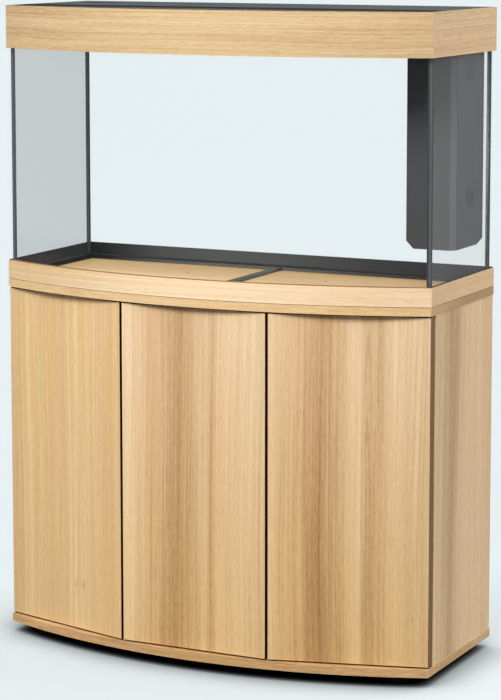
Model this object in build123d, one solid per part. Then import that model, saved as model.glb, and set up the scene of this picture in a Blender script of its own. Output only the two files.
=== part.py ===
from build123d import *
import math
import os

# Bow-front aquarium on a cabinet with three flat doors set round the bow.
# X runs across the front, Y towards the back, Z up from the floor. Millimetres.

# Overall sizes
WIDTH = 920.0
DEPTH = 420.0
BOW = 95.0
CABINET_HEIGHT = 730.0
TANK_HEIGHT = 550.0

# Clearances
FIT = 0.05
RUNNING = 0.05
AIR = 0.3

# Cabinet boards
BOARD = 16.0
SIDE_INSET = 1.0
SIDE_BACK_SETBACK = 2.0
PARTITION_X = 154.0
BACK_BOARD = 4.0
BACK_SETBACK = 6.0
CABLE_CUT_WIDTH = 130.0
CABLE_CUT_HEIGHT = 60.0
SHELF_HEIGHT = 330.0
SHELF_SIDE_GAP = 0.5
SHELF_BACK_GAP = 2.0
SHELF_FRONT_SETBACK = 16.0
SHELF_PIN_RADIUS = 2.5
SHELF_PIN_DEPTH = 8.0
SHELF_PIN_REACH = 10.0
SHELF_PIN_INSET = 40.0

# Screws and glides
SCREW_RADIUS = 2.5
SCREW_LENGTH = 48.0
SCREW_HEAD_RADIUS = 4.5
SCREW_HEAD_HEIGHT = 3.0
SCREW_REAR = 130.0
SCREW_FRONT = 31.0
GLIDE_HEIGHT = 20.0
GLIDE_RADIUS = 22.0
GLIDE_INSET_X = 75.0
GLIDE_INSET_Y = 55.0
GLIDE_RECESS_RADIUS = 6.0
GLIDE_RECESS_DEPTH = 12.0
GLIDE_SCREW_LENGTH = 20.0

# Doors, their pivot pins and bushes
DOOR_THICKNESS = 16.0
DOOR_SETBACK = 3.5
DOOR_SIDE_INSET = 1.6
DOOR_JOINT_X = 157.5
DOOR_GAP = 5.0
DOOR_CLEARANCE = 3.0
DOOR_SWING_GAP = 2.0
OUTER_PIVOT_X = 6.0
MIDDLE_PIVOT_X = 8.0
PIVOT_DEPTH = 8.0
DOOR_PIN_RADIUS = 3.0
DOOR_PIN_DEPTH = 25.0
BUSH_RADIUS = 5.0
BUSH_DEPTH = 11.0
BUSH_FLANGE_RADIUS = 7.0

# Push latches
LATCH_OFFSET = 38.0
LATCH_DROP = 14.0
LATCH_WIDTH = 14.0
LATCH_HEIGHT = 24.0
LATCH_LENGTH = 50.0
LATCH_NOSE = 8.0
LATCH_STROKE = 3.0
LATCH_GAP = 0.8
LATCH_EAR_WIDTH = 38.0
LATCH_EAR_LENGTH = 14.0
LATCH_EAR_THICKNESS = 3.0
PLUNGER_RADIUS = 3.5
PLUNGER_LENGTH = 44.0
PLUNGER_TIP_RADIUS = 5.0
PLUNGER_TIP_LENGTH = 4.0
STRIKE_RADIUS = 8.0
STRIKE_THICKNESS = 2.0
LATCH_SCREW_RADIUS = 1.75
LATCH_SCREW_LENGTH = 13.0
LATCH_SCREW_HEAD_RADIUS = 3.5
LATCH_SCREW_HEAD_HEIGHT = 2.0

# Glass tank
GLASS = 8.0
GLASS_CLEARANCE = 0.2
SEAM = 1.0
SILICONE_FILLET = 1.5
FLOOR_BEAD = 3.0
GLASS_HOOD_OVERLAP = 40.0

# Lower frame and wood trims
LOWER_FRAME_HEIGHT = 39.0
TRIM = 2.0
TRIM_REVEAL = 1.0
TRIM_LIP = 2.0
FRAME_WALL = 1.8
FRAME_BACK_WALL = 6.3
FRAME_LEDGE = 6.0
FRAME_LEDGE_WIDTH = 18.0
CROSS_BAR_WIDTH = 15.0

# Hood
HOOD_HEIGHT = 85.0
HOOD_FLANGE_WIDTH = 22.0
HOOD_FLANGE = 3.0
LID_LEDGE_WIDTH = 10.0
LID_LEDGE = 3.0
LID_THICKNESS = 3.5
LID_SIDE_GAP = 0.5
LID_STEP = 3.0
LID_DEPTH = 239.0
LID_BACK_GAP = 1.0
FLAP_GAP = 2.0
BRIDGE_WIDTH = 20.0
BRIDGE_HEIGHT = 14.5
BRIDGE_SETBACK = 1.0
ROLL_RADIUS = 2.5
LUG_RADIUS = 2.3
LUG_WIDTH = 12.0
LUG_GAP = 1.0
LUG_X = 300.0
HINGE_PIN_RADIUS = 1.2
HINGE_PIN_GRIP = 10.0
NOTCHES = ((-265.0, 142.0), (0.0, 106.0))
NOTCH_SLOPE = 26.0
RIM_WIDTH = 15.0
REST_INSET = 40.0
REST_X = 130.0
REST_WIDTH = 24.0
REST_DEPTH = 8.0
GRIP_SIDE = 88.0
GRIP_BACK = 100.0
GRIP_LENGTH = 75.0
GRIP_WIDTH = 22.0
GRIP_DEPTH = 2.2

# Light unit
LIGHT_BAR_WIDTH = 64.0
LIGHT_BAR_HEIGHT = 20.0
LIGHT_BAR_WALL = 2.0
LIGHT_BAR_END_GAP = 8.0
LIGHT_BAR_SETBACK = 33.0
TUBE_RADIUS = 8.0
TUBE_SPACING = 32.0
TUBE_DROP = 13.0
SOCKET_LENGTH = 20.0
SOCKET_WIDTH = 22.0
SOCKET_HEIGHT = 23.0
SOCKET_POCKET = 12.0
SOCKET_END_GAP = 4.0

# Inner filter
FILTER_WIDTH = 100.0
FILTER_DEPTH = 148.0
FILTER_HEIGHT = 410.0
FILTER_RAISE = 75.0
FILTER_SIDE_GAP = 3.0
FILTER_BACK_GAP = 12.0
FILTER_WALL = 2.5
FILTER_BEVEL = 10.0
FILTER_FOOT_BEVEL = 15.0
FILTER_HEEL_DEPTH = 30.0
FILTER_HEEL_RISE = 10.0
FILTER_DIVIDER_Y = 72.0
DIVIDER_FOOT = 40.0
DIVIDER_HEAD = 45.0
RIB_WIDTH = 4.0
RIB_HEIGHT = 3.0
PAD_SIZE = 40.0
PAD_HEIGHTS = (80.0, 320.0)
SLOT_COUNT = 6
SLOT_HEIGHT = 4.0
SLOT_PITCH = 9.0
SLOT_LENGTH = 50.0
SLOT_RAISE = 40.0
BASKET_GAP = 0.5
BASKET_WALL = 1.5
BASKET_HEIGHT = 350.0
SPONGE_COUNT = 4
SPONGE_HEIGHT = 80.0
SPONGE_GAP = 0.6

# Pump, impeller, nozzle and heater
PUMP_RAISE = 280.0
PUMP_PLATE = 4.0
PUMP_WIDTH = 50.0
PUMP_DEPTH = 52.0
PUMP_HEIGHT = 50.0
VOLUTE_RADIUS = 19.0
VOLUTE_WALL = 2.5
VOLUTE_HEIGHT = 28.0
SHAFT_RADIUS = 1.5
SHAFT_LENGTH = 26.0
HUB_RADIUS = 4.5
VANE_COUNT = 6
VANE_REACH = 14.0
VANE_THICKNESS = 1.6
VANE_HEIGHT = 18.0
PIPE_RADIUS = 6.0
PIPE_BORE = 4.5
PIPE_OFFSET = 22.0
NOZZLE_DROP = 29.0
NOZZLE_RADIUS = 9.0
NOZZLE_INNER_LENGTH = 6.0
NOZZLE_FLANGE_RADIUS = 13.0
NOZZLE_FLANGE = 2.0
SPOUT_RADIUS = 8.0
SPOUT_BORE = 5.5
SPOUT_LENGTH = 24.0
SPOUT_ANGLE = 35.0
HEATER_RADIUS = 11.0
HEATER_LENGTH = 190.0
HEATER_HEAD_RADIUS = 13.0
HEATER_HEAD_LENGTH = 34.0
HEATER_OFFSET_X = 30.0

# Places worked out from the sizes above
half_width = WIDTH / 2
front_y = -DEPTH / 2
back_y = DEPTH / 2
bow_radius = (BOW**2 + half_width**2) / (2 * BOW)
bow_centre_y = front_y + bow_radius
base_top = GLIDE_HEIGHT + BOARD
top_bottom = CABINET_HEIGHT - BOARD
frame_top = CABINET_HEIGHT + LOWER_FRAME_HEIGHT
hood_top = CABINET_HEIGHT + TANK_HEIGHT
hood_bottom = hood_top - HOOD_HEIGHT
frame_inset = TRIM + FRAME_WALL
glass_inset = frame_inset + GLASS_CLEARANCE
glass_inner = glass_inset + GLASS
glass_back = back_y - FRAME_BACK_WALL - GLASS_CLEARANCE
glass_back_inner = glass_back - GLASS
glass_bottom = CABINET_HEIGHT + FRAME_LEDGE
floor_top = glass_bottom + GLASS
glass_top = hood_bottom + GLASS_HOOD_OVERLAP
nodes = {}


def block(x0, x1, y0, y1, z0, z1):
    """A box between two corners."""
    return Pos((x0 + x1) / 2, (y0 + y1) / 2, (z0 + z1) / 2) * Box(x1 - x0, y1 - y0, z1 - z0)


def rod(start, direction, radius, length):
    """A round bar that starts at a point and runs along a direction."""
    bar = Cylinder(radius, length, align=(Align.CENTER, Align.CENTER, Align.MIN))
    return Plane(origin=start, z_dir=direction) * bar


def bow_y(x, inset):
    """Y of the curved front at x, moved inwards by the inset."""
    return bow_centre_y - math.sqrt((bow_radius - inset) ** 2 - x**2)


def bow_arc(x_start, x_end, inset):
    """The stretch of the curved front between two places across the width."""
    stations = (x_start, (x_start + x_end) / 2, x_end)
    return ThreePointArc(*[(x, bow_y(x, inset)) for x in stations])


def raised(outline, bottom, top):
    """A closed flat outline made into a solid between two heights."""
    return Pos(0, 0, bottom) * extrude(make_face(outline), amount=top - bottom, dir=(0, 0, 1))


def bow_plate(inset, side_inset, back, bottom, top):
    """A level plate with a curved front edge and square back corners."""
    half = half_width - side_inset
    front = bow_arc(-half, half, inset)
    rest = Polyline(front @ 1, (half, back), (-half, back), front @ 0)
    return raised([front, rest], bottom, top)


def bow_panel(x_left, x_right, front_inset, back_inset, bottom, top):
    """An upright panel bent to the curved front."""
    front = bow_arc(x_left, x_right, front_inset)
    back = bow_arc(x_right, x_left, back_inset)
    return raised([front, Line(front @ 1, back @ 0), back, Line(back @ 1, front @ 0)], bottom, top)


def both_sides(shape):
    """A shape on the right and its mirror image on the left."""
    return [shape, mirror(shape, about=Plane.YZ)]


def group(shapes):
    """Separate like pieces kept together."""
    return Compound(children=list(shapes))


# Flat doors, set as chords of the curve: left end, right end, pivot and push latch across the width
door_end = half_width - DOOR_SIDE_INSET
door_bottom = base_top + DOOR_CLEARANCE
door_top = top_bottom - DOOR_CLEARANCE
outer_pivot_x = door_end - OUTER_PIVOT_X
middle_pivot_x = -(DOOR_JOINT_X - DOOR_GAP / 2 - MIDDLE_PIVOT_X)
inner_end = DOOR_JOINT_X + DOOR_GAP / 2
middle_end = DOOR_JOINT_X - DOOR_GAP / 2
latch_z = top_bottom - LATCH_DROP
doors = {
    "left": (-door_end, -inner_end, -outer_pivot_x, -(DOOR_JOINT_X + LATCH_OFFSET)),
    "middle": (-middle_end, middle_end, middle_pivot_x, DOOR_JOINT_X - LATCH_OFFSET),
    "right": (inner_end, door_end, outer_pivot_x, DOOR_JOINT_X + LATCH_OFFSET),
}


def door_slope(name):
    """How much a door's flat face falls back for each millimetre across the width."""
    x_left, x_right = doors[name][:2]
    return (bow_y(x_right, DOOR_SETBACK) - bow_y(x_left, DOOR_SETBACK)) / (x_right - x_left)


def door_y(name, x, depth):
    """Y of a door at x, at a depth behind its flat front face."""
    slope = door_slope(name)
    front = bow_y(doors[name][0], DOOR_SETBACK) + slope * (x - doors[name][0])
    return front + depth * math.hypot(1, slope)


def pivot_point(name):
    """Where a door's upright axis stands."""
    pivot_x = doors[name][2]
    return (pivot_x, door_y(name, pivot_x, PIVOT_DEPTH))


def door_swing(name, end_x):
    """How far back the hinged end of a door reaches as it turns."""
    x, y = pivot_point(name)
    return y + math.hypot(end_x - x, door_y(name, end_x, DOOR_THICKNESS) - y)


# Screws that hold the top and base panels to the uprights
side_outer = half_width - SIDE_INSET
side_inner = side_outer - BOARD
side_front = door_swing("right", door_end) + DOOR_SWING_GAP
screw_columns = [s * x for s in (-1, 1) for x in (side_outer - BOARD / 2, PARTITION_X)]
screw_rows = [back_y - SCREW_REAR, side_front + SCREW_FRONT]
screw_places = [(x, y) for x in screw_columns for y in screw_rows]


def panel_screw(x, y, z, inwards, extra):
    """A flat-headed screw, or its hole when extra is the clearance round it."""
    head = rod((x, y, z), (0, 0, inwards), SCREW_HEAD_RADIUS + extra, SCREW_HEAD_HEIGHT)
    return head + rod((x, y, z), (0, 0, inwards), SCREW_RADIUS + extra, SCREW_LENGTH + extra)


top_screws = [panel_screw(x, y, CABINET_HEIGHT, -1, 0) for x, y in screw_places]
top_screw_holes = [panel_screw(x, y, CABINET_HEIGHT, -1, FIT) for x, y in screw_places]
base_screws = [panel_screw(x, y, GLIDE_HEIGHT, 1, 0) for x, y in screw_places]
base_screw_holes = [panel_screw(x, y, GLIDE_HEIGHT, 1, FIT) for x, y in screw_places]
nodes["panel_screws"] = group(top_screws + base_screws)

# Glides under the base panel, each held by one screw from below
glide_x = half_width - GLIDE_INSET_X
glide_front_y = bow_y(glide_x, 0) + GLIDE_INSET_Y
glide_back_y = back_y - GLIDE_INSET_Y
glide_middle_y = front_y + GLIDE_INSET_Y
glide_places = [(-glide_x, glide_front_y), (0, glide_middle_y), (glide_x, glide_front_y)]
glide_places += [(x, glide_back_y) for x in (-glide_x, 0, glide_x)]
glides, glide_screws, glide_screw_holes = [], [], []
for x, y in glide_places:
    foot = rod((x, y, 0), (0, 0, 1), GLIDE_RADIUS, GLIDE_HEIGHT)
    recess = rod((x, y, 0), (0, 0, 1), GLIDE_RECESS_RADIUS, GLIDE_RECESS_DEPTH)
    seat = (x, y, GLIDE_RECESS_DEPTH)
    below = (x, y, GLIDE_RECESS_DEPTH - SCREW_HEAD_HEIGHT)
    head = rod(below, (0, 0, 1), SCREW_HEAD_RADIUS, SCREW_HEAD_HEIGHT)
    hole = rod(seat, (0, 0, 1), SCREW_RADIUS + FIT, GLIDE_SCREW_LENGTH + FIT)
    glides.append(foot - recess - hole)
    glide_screws.append(head + rod(seat, (0, 0, 1), SCREW_RADIUS, GLIDE_SCREW_LENGTH))
    glide_screw_holes.append(hole)
nodes["glides"] = group(glides)


# Doors on pivot pins, with push latches behind their free edges
def latch_plane(name):
    """A plane on the door's back at the latch, facing into the cabinet."""
    latch_x = doors[name][3]
    origin = (latch_x, door_y(name, latch_x, DOOR_THICKNESS), latch_z)
    return Plane(origin=origin, x_dir=(0, 0, 1), z_dir=(-door_slope(name), 1, 0))


bushes, bush_holes, latch_bodies, latch_screws, latch_screw_holes = [], [], [], [], []
along = (Align.CENTER, Align.CENTER, Align.MIN)
for name, (x_left, x_right, *_) in doors.items():
    px, py = pivot_point(name)
    fronts = [(x, door_y(name, x, 0)) for x in (x_left, x_right)]
    backs = [(x, door_y(name, x, DOOR_THICKNESS)) for x in (x_right, x_left)]
    door = raised([Polyline(*fronts, *backs, close=True)], door_bottom, door_top)
    pins = []
    for edge, board, inwards in ((door_bottom, base_top, 1), (door_top, top_bottom, -1)):
        # A pin in the door's edge turns in a flanged bush set into the board
        up, down = (0, 0, inwards), (0, 0, -inwards)
        door -= rod((px, py, edge), up, DOOR_PIN_RADIUS + FIT, DOOR_PIN_DEPTH + FIT)
        pin_end = board - inwards * (BUSH_DEPTH - AIR)
        pin_length = BUSH_DEPTH - AIR + DOOR_CLEARANCE + DOOR_PIN_DEPTH
        pins.append(rod((px, py, pin_end), up, DOOR_PIN_RADIUS, pin_length))
        barrel = rod((px, py, board), down, BUSH_RADIUS, BUSH_DEPTH)
        flange = rod((px, py, board), up, BUSH_FLANGE_RADIUS, DOOR_CLEARANCE - AIR)
        bore_start = (px, py, board - inwards * BUSH_DEPTH)
        bore = rod(bore_start, up, DOOR_PIN_RADIUS + RUNNING, BUSH_DEPTH + DOOR_CLEARANCE)
        bushes.append(barrel + flange - bore)
        bush_holes.append(rod((px, py, board), down, BUSH_RADIUS + FIT, BUSH_DEPTH))
    plane = latch_plane(name)
    recess = Cylinder(STRIKE_RADIUS + FIT, 2 * STRIKE_THICKNESS)
    nodes[f"{name}_door"] = door - plane * recess
    nodes[f"{name}_door_pins"] = group(pins)
    strike = plane * Pos(0, 0, -STRIKE_THICKNESS) * Cylinder(STRIKE_RADIUS, STRIKE_THICKNESS, align=along)
    nodes[f"{name}_strike_plate"] = strike

    # Push latch under the top panel: a sprung plunger in a screwed-on body
    tip = Pos(0, 0, LATCH_GAP) * Cylinder(PLUNGER_TIP_RADIUS, PLUNGER_TIP_LENGTH, align=along)
    stem = Pos(0, 0, LATCH_GAP) * Cylinder(PLUNGER_RADIUS, PLUNGER_LENGTH, align=along)
    nodes[f"{name}_latch_plunger"] = plane * (tip + stem)
    rise = LATCH_DROP - LATCH_HEIGHT / 2
    body = Pos(rise, 0, LATCH_NOSE) * Box(LATCH_HEIGHT, LATCH_WIDTH, LATCH_LENGTH, align=along)
    ear_place = Pos(LATCH_DROP - LATCH_EAR_THICKNESS / 2, 0, LATCH_NOSE + LATCH_LENGTH / 2)
    body += ear_place * Box(LATCH_EAR_THICKNESS, LATCH_EAR_WIDTH, LATCH_EAR_LENGTH)
    channel = LATCH_GAP + PLUNGER_LENGTH + LATCH_STROKE - LATCH_NOSE
    body -= Pos(0, 0, LATCH_NOSE) * Cylinder(PLUNGER_RADIUS + RUNNING, channel + AIR, align=along)
    ear_y = (LATCH_EAR_WIDTH + LATCH_WIDTH) / 4
    body = plane * body
    for side in (-1, 1):
        ear = (LATCH_DROP - LATCH_EAR_THICKNESS, side * ear_y, LATCH_NOSE + LATCH_LENGTH / 2)
        screw_start = plane.from_local_coords(ear)
        head_start = screw_start - Vector(0, 0, LATCH_SCREW_HEAD_HEIGHT)
        screw = rod(head_start, (0, 0, 1), LATCH_SCREW_HEAD_RADIUS, LATCH_SCREW_HEAD_HEIGHT)
        latch_screws.append(screw + rod(screw_start, (0, 0, 1), LATCH_SCREW_RADIUS, LATCH_SCREW_LENGTH))
        hole = rod(screw_start, (0, 0, 1), LATCH_SCREW_RADIUS + FIT, LATCH_SCREW_LENGTH + FIT)
        latch_screw_holes.append(hole)
        body -= hole
    latch_bodies.append(body)
nodes["door_bushes"] = group(bushes)
nodes["latch_bodies"] = group(latch_bodies)
nodes["fixing_screws"] = group(glide_screws + latch_screws)

# Cabinet boards
holes_in_base = base_screw_holes + glide_screw_holes + bush_holes
holes_in_top = top_screw_holes + latch_screw_holes + bush_holes
nodes["base_panel"] = bow_plate(0, 0, back_y, GLIDE_HEIGHT, base_top) - holes_in_base
nodes["top_panel"] = bow_plate(0, 0, back_y, top_bottom, CABINET_HEIGHT) - holes_in_top

back_face = back_y - BACK_SETBACK - BACK_BOARD
side_back = back_y - SIDE_BACK_SETBACK
partition_front = door_swing("middle", -middle_end) + DOOR_SWING_GAP
partition_inner = PARTITION_X - BOARD / 2
partition_outer = PARTITION_X + BOARD / 2
side_panel = block(side_inner, side_outer, side_front, side_back, base_top, top_bottom)
partition = block(partition_inner, partition_outer, partition_front, back_face, base_top, top_bottom)

# Shelves of the outer compartments, each on four pins
shelf_bottom = base_top + SHELF_HEIGHT
shelf_front = side_front + SHELF_FRONT_SETBACK
shelf_back = back_face - SHELF_BACK_GAP
pin_z = shelf_bottom - SHELF_PIN_RADIUS
shelf_pins, shelf_pin_holes = [], []
for wall_x, outwards in ((side_inner, 1), (partition_outer, -1)):
    for pin_y in (shelf_front + SHELF_PIN_INSET, shelf_back - SHELF_PIN_INSET):
        start = (wall_x - outwards * SHELF_PIN_REACH, pin_y, pin_z)
        length = SHELF_PIN_REACH + SHELF_PIN_DEPTH
        shelf_pins += both_sides(rod(start, (outwards, 0, 0), SHELF_PIN_RADIUS, length))
        shelf_pin_holes += both_sides(rod(start, (outwards, 0, 0), SHELF_PIN_RADIUS + FIT, length + FIT))
shelf = block(
    partition_outer + SHELF_SIDE_GAP, side_inner - SHELF_SIDE_GAP,
    shelf_front, shelf_back, shelf_bottom, shelf_bottom + BOARD,
)
upright_holes = top_screw_holes + base_screw_holes + shelf_pin_holes
for shape, label in ((side_panel, "side_panel"), (partition, "partition"), (shelf, "shelf")):
    for side, copy in zip(("right", "left"), both_sides(shape)):
        nodes[f"{side}_{label}"] = copy if label == "shelf" else copy - upright_holes
nodes["shelf_pins"] = group(shelf_pins)

# Thin back board with a cable cut-out behind each compartment
back_board = block(-side_inner, side_inner, back_face, back_face + BACK_BOARD, base_top, top_bottom)
outer_middle = (partition_outer + side_inner) / 2
for x in (-outer_middle, 0, outer_middle):
    left, right = x - CABLE_CUT_WIDTH / 2, x + CABLE_CUT_WIDTH / 2
    past_back = back_face + BACK_BOARD
    back_board -= block(left, right, back_face, past_back, top_bottom - CABLE_CUT_HEIGHT, top_bottom)
nodes["back_panel"] = back_board

# Lower frame: a black ring with a ledge for the floor glass and a bar across the middle
frame_back = back_y - FRAME_BACK_WALL
frame = bow_plate(TRIM, TRIM, back_y, CABINET_HEIGHT, frame_top)
frame -= bow_plate(frame_inset, frame_inset, frame_back, glass_bottom, frame_top)
ledge_inset = glass_inset + FRAME_LEDGE_WIDTH
ledge_back = glass_back - FRAME_LEDGE_WIDTH
frame -= bow_plate(ledge_inset, ledge_inset, ledge_back, CABINET_HEIGHT, glass_bottom)
bar_half = CROSS_BAR_WIDTH / 2
bar = block(-bar_half, bar_half, bow_y(bar_half, frame_inset), frame_back, CABINET_HEIGHT, glass_bottom)
nodes["lower_frame"] = frame + bar


def wood_trims(label, bottom, top):
    """Wood-finish strips on the front and sides of a frame."""
    nodes[f"{label}_trim_front"] = bow_panel(-half_width, half_width, 0, TRIM, bottom, top)
    strip = block(half_width - TRIM, half_width, bow_y(half_width, TRIM), back_y, bottom, top)
    nodes[f"{label}_trim_right"], nodes[f"{label}_trim_left"] = both_sides(strip)


wood_trims("lower", CABINET_HEIGHT + TRIM_REVEAL, frame_top - TRIM_LIP)
wood_trims("hood", hood_bottom, hood_top)

# Glass panes: the side panes stand between the curved front pane and the back pane
glass_half = half_width - glass_inset
pane_half = half_width - glass_inner
floor_inset = glass_inner + SEAM
pane_front = bow_y(glass_half, glass_inner) + SEAM
pane_back = glass_back_inner - SEAM
nodes["front_glass"] = bow_panel(-glass_half, glass_half, glass_inset, glass_inner, glass_bottom, glass_top)
nodes["back_glass"] = block(-glass_half, glass_half, glass_back_inner, glass_back, glass_bottom, glass_top)
pane = block(pane_half, glass_half, pane_front, pane_back, glass_bottom, glass_top)
nodes["right_glass"], nodes["left_glass"] = both_sides(pane)
nodes["bottom_glass"] = bow_plate(floor_inset, floor_inset, pane_back, glass_bottom, floor_top)

# Silicone: a bead round the floor, and a joint with an inner fillet at each upright corner
bead_top = floor_top + FLOOR_BEAD
bead = bow_plate(glass_inner, glass_inner, glass_back_inner, floor_top, bead_top)
bead_in = glass_inner + FLOOR_BEAD
bead -= bow_plate(bead_in, bead_in, glass_back_inner - FLOOR_BEAD, floor_top, bead_top)
nodes["floor_silicone"] = bead
fillet_x = pane_half - SILICONE_FILLET
back_joint = Polyline(
    (glass_half, glass_back_inner), (fillet_x, glass_back_inner),
    (pane_half, glass_back_inner - SILICONE_FILLET), (pane_half, pane_back),
    (glass_half, pane_back), close=True,
)
front_curve = bow_arc(glass_half, fillet_x, glass_inner + FIT)
front_joint = Polyline(
    front_curve @ 1, (pane_half, pane_front + SILICONE_FILLET), (pane_half, pane_front),
    (glass_half, pane_front), front_curve @ 0,
)
corners = [raised(outline, bead_top, glass_top) for outline in ([back_joint], [front_curve, front_joint])]
nodes["corner_silicone"] = group(both_sides(corners[0]) + both_sides(corners[1]))

# Hood frame: side and back walls on the glass, flanges on the panes, ledges and a bridge for the lids
lid_seat = hood_top - LID_THICKNESS
flap_top = hood_top - LID_STEP
flap_seat = flap_top - LID_THICKNESS
hood_back = back_y - FRAME_WALL
hood_half = half_width - frame_inset
lid_front = back_y - LID_DEPTH
bridge_front = lid_front + BRIDGE_SETBACK
bridge_back = bridge_front + BRIDGE_WIDTH
flap_pivot = (lid_front - FLAP_GAP - ROLL_RADIUS, flap_top - ROLL_RADIUS)
lid_pivot = (hood_back - LID_BACK_GAP - ROLL_RADIUS, hood_top - ROLL_RADIUS)
flange_in = hood_half - HOOD_FLANGE_WIDTH
flange_top = glass_top + HOOD_FLANGE
inner_front = bow_y(hood_half, frame_inset) + SEAM
hood = bow_plate(frame_inset + FIT, TRIM, back_y, hood_bottom, hood_top)
hood -= block(-hood_half, hood_half, front_y, frame_back, hood_bottom, glass_top)
hood -= block(-hood_half, hood_half, front_y, hood_back, glass_top, hood_top)
hood += block(-hood_half, hood_half, hood_back - HOOD_FLANGE_WIDTH, hood_back, glass_top, flange_top)
hood += both_sides(block(flange_in, hood_half, inner_front, hood_back, glass_top, flange_top))
ledge_in = hood_half - LID_LEDGE_WIDTH
flap_ledge_back = flap_pivot[0] - ROLL_RADIUS - LUG_GAP
lid_ledge_back = lid_pivot[0] - ROLL_RADIUS - LUG_GAP
hood += both_sides(block(ledge_in, hood_half, inner_front, flap_ledge_back, flap_seat - LID_LEDGE, flap_seat))
hood += both_sides(block(ledge_in, hood_half, bridge_front, lid_ledge_back, lid_seat - LID_LEDGE, lid_seat))
hood += block(-hood_half, hood_half, bridge_front, bridge_back, lid_seat - BRIDGE_HEIGHT, lid_seat)

# Curved front rail of the hood, with small rests that carry the front edge of the flap
rail_half = half_width - TRIM
nodes["hood_front_rail"] = bow_panel(-rail_half, rail_half, TRIM, frame_inset, hood_bottom, hood_top)
rest_front = frame_inset + FIT
rests = []
for x in (REST_X, half_width - REST_INSET):
    rest_ends = (x - REST_WIDTH / 2, x + REST_WIDTH / 2)
    rest_back = rest_front + REST_DEPTH
    rests += both_sides(bow_panel(*rest_ends, rest_front, rest_back, flap_seat - LID_LEDGE, flap_seat))
nodes["flap_rests"] = group(rests)


def hinge_parts(pivot, anchor_y):
    """Lugs on the hood, and the gaps and pins of the lid that turns on them."""
    y, z = pivot
    lugs, gaps, pins, bores = [], [], [], []
    for x in (-LUG_X, 0, LUG_X):
        x0, x1 = x - LUG_WIDTH / 2, x + LUG_WIDTH / 2
        eye = rod((x0, y, z), (1, 0, 0), LUG_RADIUS, LUG_WIDTH)
        arm = block(x0, x1, y, anchor_y, z - LUG_RADIUS, z)
        lugs.append(eye + arm - rod((x0, y, z), (1, 0, 0), HINGE_PIN_RADIUS + RUNNING, LUG_WIDTH))
        reach = ROLL_RADIUS + LUG_GAP
        gap_ends = (x0 - LUG_GAP, x1 + LUG_GAP)
        gaps.append(block(*gap_ends, y - reach, y + reach, z - reach, z + reach))
        start = (x0 - LUG_GAP - HINGE_PIN_GRIP, y, z)
        length = LUG_WIDTH + 2 * (LUG_GAP + HINGE_PIN_GRIP)
        pins.append(rod(start, (1, 0, 0), HINGE_PIN_RADIUS, length))
        bores.append(rod(start, (1, 0, 0), HINGE_PIN_RADIUS + FIT, length))
    return lugs, gaps, pins, bores


flap_lugs, flap_gaps, flap_pins, flap_bores = hinge_parts(flap_pivot, bridge_front)
lid_lugs, lid_gaps, lid_pins, lid_bores = hinge_parts(lid_pivot, hood_back)
nodes["hood_frame"] = hood + flap_lugs + lid_lugs


def rolled_edge(pivot):
    """The round rear edge of a lid."""
    return rod((-lid_half, *pivot), (1, 0, 0), ROLL_RADIUS, 2 * lid_half)


# Front flap: a D-shaped lid with a rolled rear edge that turns on its pins
lid_inset = frame_inset + LID_SIDE_GAP
lid_half = half_width - lid_inset
rim_inset = lid_inset + RIM_WIDTH
flap = bow_plate(rim_inset, lid_inset, flap_pivot[0], flap_seat, flap_top)
flap += rolled_edge(flap_pivot)
nodes["front_flap"] = flap - flap_gaps - flap_bores
nodes["front_flap_pins"] = group(flap_pins)

# Soft rim round the flap's curved edge, left open at each finger notch
rims, rim_start, slope = [], -lid_half, 0.0
for x, width in (*NOTCHES, (lid_half, 0.0)):
    rim_end = x - width / 2
    next_slope = NOTCH_SLOPE if width else 0.0
    outer_edge = bow_arc(rim_start, rim_end, lid_inset)
    inner_edge = bow_arc(rim_end + next_slope, rim_start - slope, rim_inset - FIT)
    ends = [Line(outer_edge @ 1, inner_edge @ 0), Line(inner_edge @ 1, outer_edge @ 0)]
    rims.append(raised([outer_edge, ends[0], inner_edge, ends[1]], flap_seat, flap_top))
    rim_start, slope = x + width / 2, next_slope
nodes["flap_rim"] = group(rims)

# Rear lid: a flat lid with a rolled rear edge and a sunk grip
lid = block(-lid_half, lid_half, lid_front, lid_pivot[0], lid_seat, hood_top)
lid += rolled_edge(lid_pivot)
lid -= lid_gaps + lid_bores
grip = extrude(SlotOverall(GRIP_LENGTH, GRIP_WIDTH), amount=GRIP_DEPTH, dir=(0, 0, -1))
lid -= Pos(GRIP_SIDE - half_width, back_y - GRIP_BACK, hood_top) * grip
nodes["rear_lid"] = lid
nodes["rear_lid_pins"] = group(lid_pins)

# Light unit across the hood: a channel on the flange, with two tubes in sockets below it
bar_bottom = flange_top
bar_top = bar_bottom + LIGHT_BAR_HEIGHT
bar_end = hood_half - LIGHT_BAR_END_GAP
bar_y = lid_front + LIGHT_BAR_SETBACK
bar_y0 = bar_y - LIGHT_BAR_WIDTH / 2
bar_y1 = bar_y + LIGHT_BAR_WIDTH / 2
light_bar = block(-bar_end, bar_end, bar_y0, bar_y1, bar_bottom, bar_top)
light_bar -= block(
    -bar_end + LIGHT_BAR_WALL, bar_end - LIGHT_BAR_WALL, bar_y0 + LIGHT_BAR_WALL,
    bar_y1 - LIGHT_BAR_WALL, bar_bottom + LIGHT_BAR_WALL, bar_top - LIGHT_BAR_WALL,
)
nodes["light_bar"] = light_bar
socket_end = flange_in - SOCKET_END_GAP
socket_face = socket_end - SOCKET_LENGTH
tube_half = socket_face + SOCKET_POCKET - AIR
tube_z = bar_bottom - TUBE_DROP
tubes, sockets = [], []
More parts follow.
